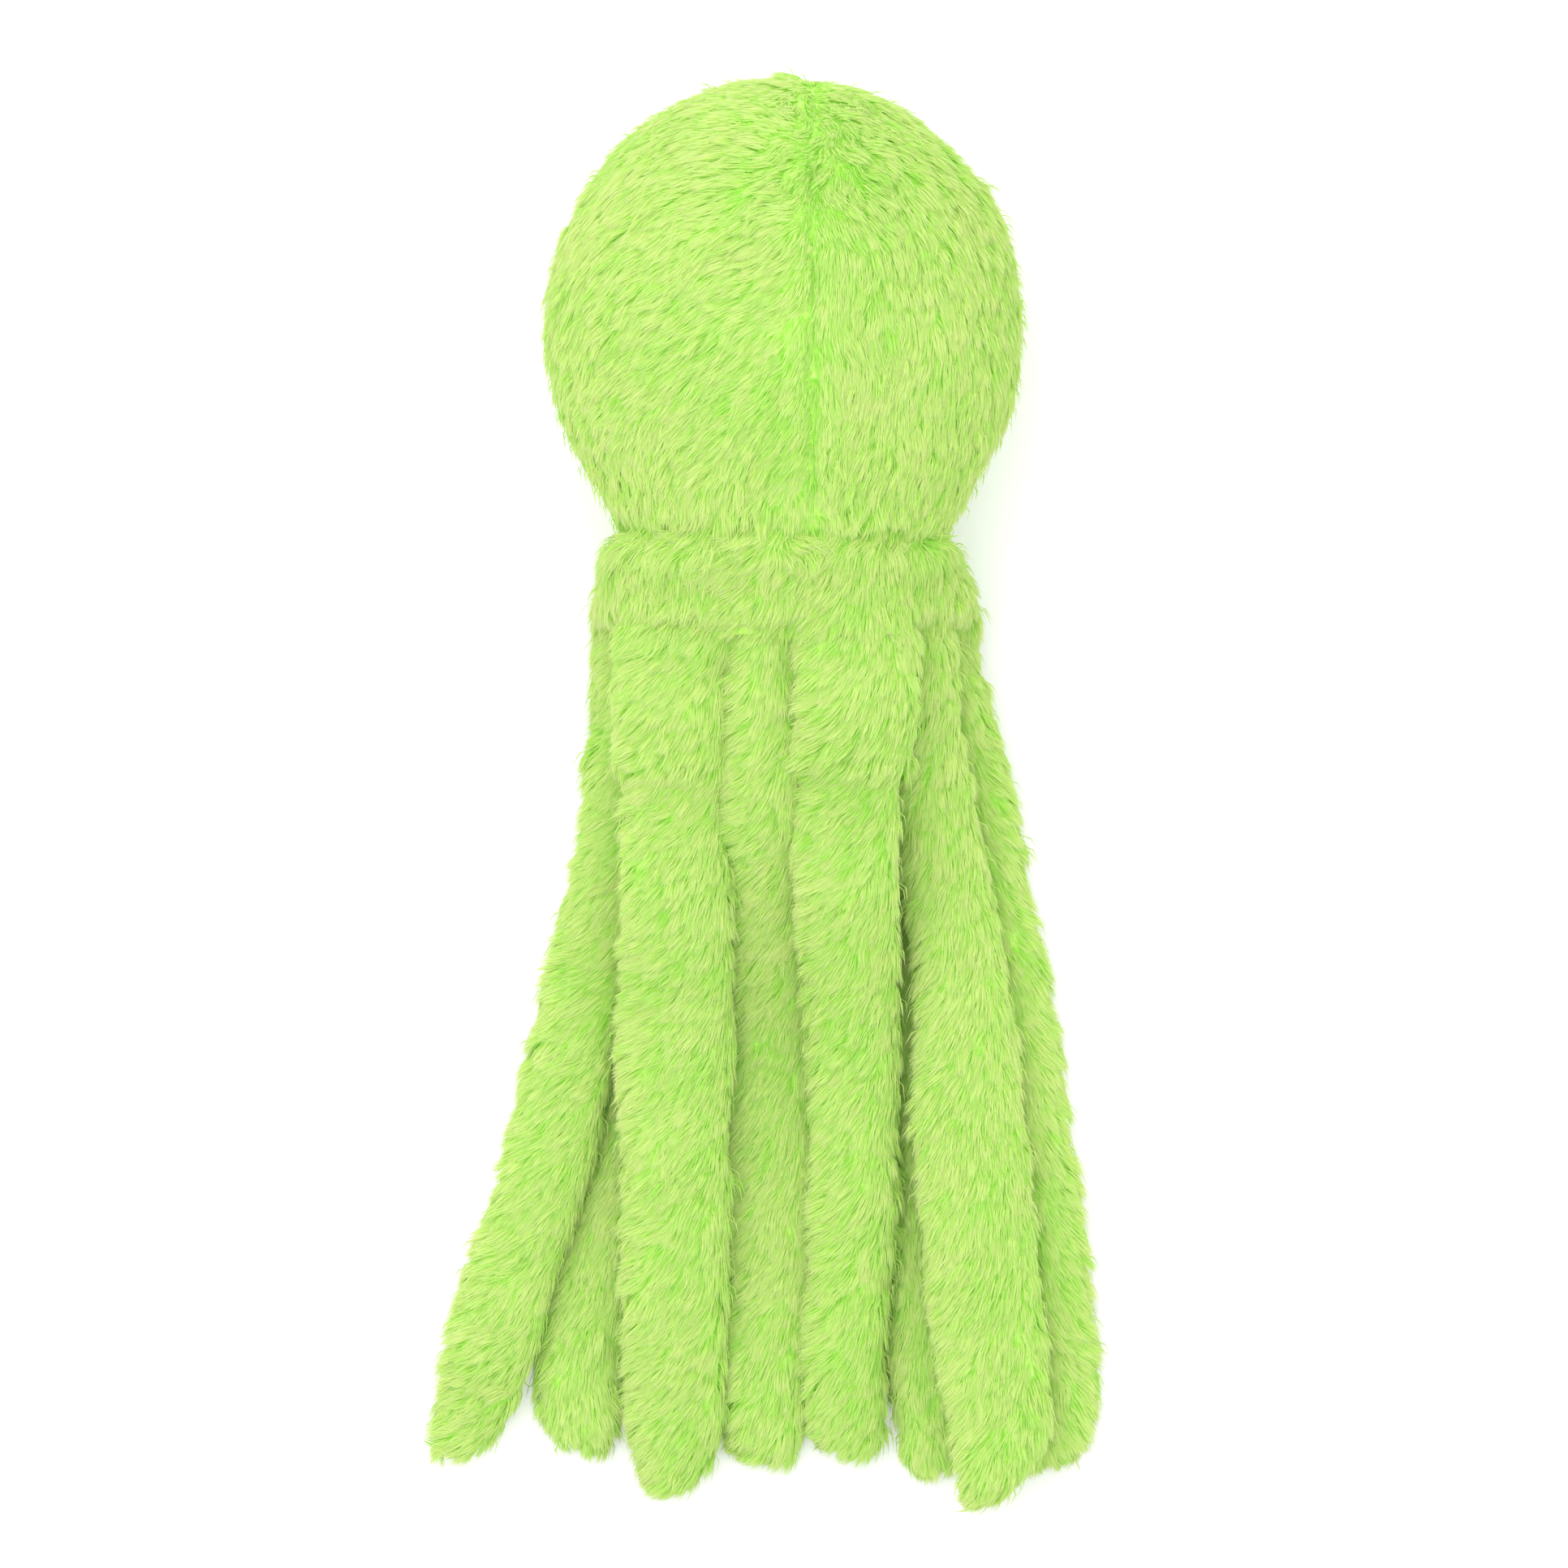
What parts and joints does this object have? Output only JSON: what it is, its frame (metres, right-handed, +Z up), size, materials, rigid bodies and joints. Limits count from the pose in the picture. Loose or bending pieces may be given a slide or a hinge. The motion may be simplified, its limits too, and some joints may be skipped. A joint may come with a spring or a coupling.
{
  "type": "plush octopus dog toy",
  "caption": "Long-pile plush octopus dog toy: a fibre-filled ball head with a squeaker, a gathered skirt at the neck and long stuffed tentacles, lying face down.",
  "frame": {"origin": "middle of the flat spot under the head, on the surface the toy lies on", "axes": "+Y towards the crown of the head with the tentacles towards -Y, +Z up from the surface the toy lies on, +X to the right as seen from above"},
  "size_m": [0.1875, 0.4002, 0.115],
  "materials": {
    "plush": "long lime-green plush pile, matt",
    "fibre": "white polyester fibre filling",
    "squeaker_plastic": "thin blown soft plastic"
  },
  "bodies": {
    "root": {"head_back_left": "plush", "head_back_right": "plush", "head_front": "plush", "skirt_left": "plush", "skirt_right": "plush", "tentacle_1": "plush", "tentacle_2": "plush", "tentacle_3": "plush", "tentacle_4": "plush", "tentacle_5": "plush", "tentacle_6": "plush", "tentacle_7": "plush", "tentacle_8": "plush", "head_stuffing": "fibre", "neck_stuffing": "fibre", "squeaker": "squeaker_plastic", "squeaker_reed": "squeaker_plastic"}
  },
  "joints": []
}
